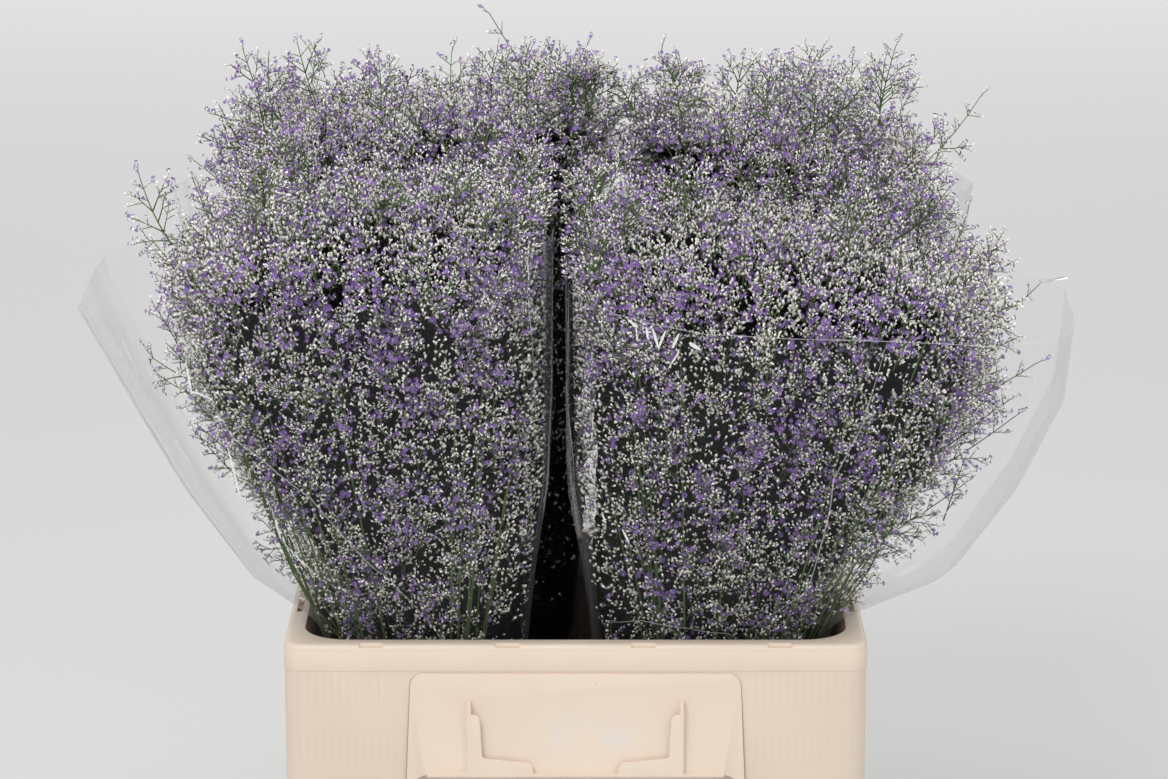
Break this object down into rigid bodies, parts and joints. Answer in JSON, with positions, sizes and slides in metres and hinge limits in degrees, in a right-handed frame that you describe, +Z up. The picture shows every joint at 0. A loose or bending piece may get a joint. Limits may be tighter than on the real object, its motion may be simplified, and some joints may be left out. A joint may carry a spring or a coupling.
{
  "type": "sleeved bunches of statice in a flower bucket",
  "caption": "Violet and white sea lavender statice in clear film sleeves, standing in a cream plastic flower bucket.",
  "frame": {"origin": "middle of the bucket's underside, on the surface it stands on", "axes": "+Z up, +X to the right along the bucket's long side, +Y to the back; the picture looks along +Y"},
  "size_m": [0.6722, 0.4656, 0.6879],
  "materials": {
    "bucket_plastic": "satin cream polypropylene",
    "stems": "dull green plant stem",
    "flowers": "papery white calyces and violet petals on green twigs",
    "film": "clear glossy film",
    "band": "tan rubber band"
  },
  "bodies": {
    "root": {"bucket": "bucket_plastic", "front_left_stems": "stems", "front_right_stems": "stems", "back_left_stems": "stems", "back_right_stems": "stems", "front_left_flowers": "flowers", "front_right_flowers": "flowers", "back_left_flowers": "flowers", "back_right_flowers": "flowers", "front_left_sleeve": "film", "front_right_sleeve": "film", "back_left_sleeve": "film", "back_right_sleeve": "film", "front_left_band": "band", "front_right_band": "band", "back_left_band": "band", "back_right_band": "band"}
  },
  "joints": []
}
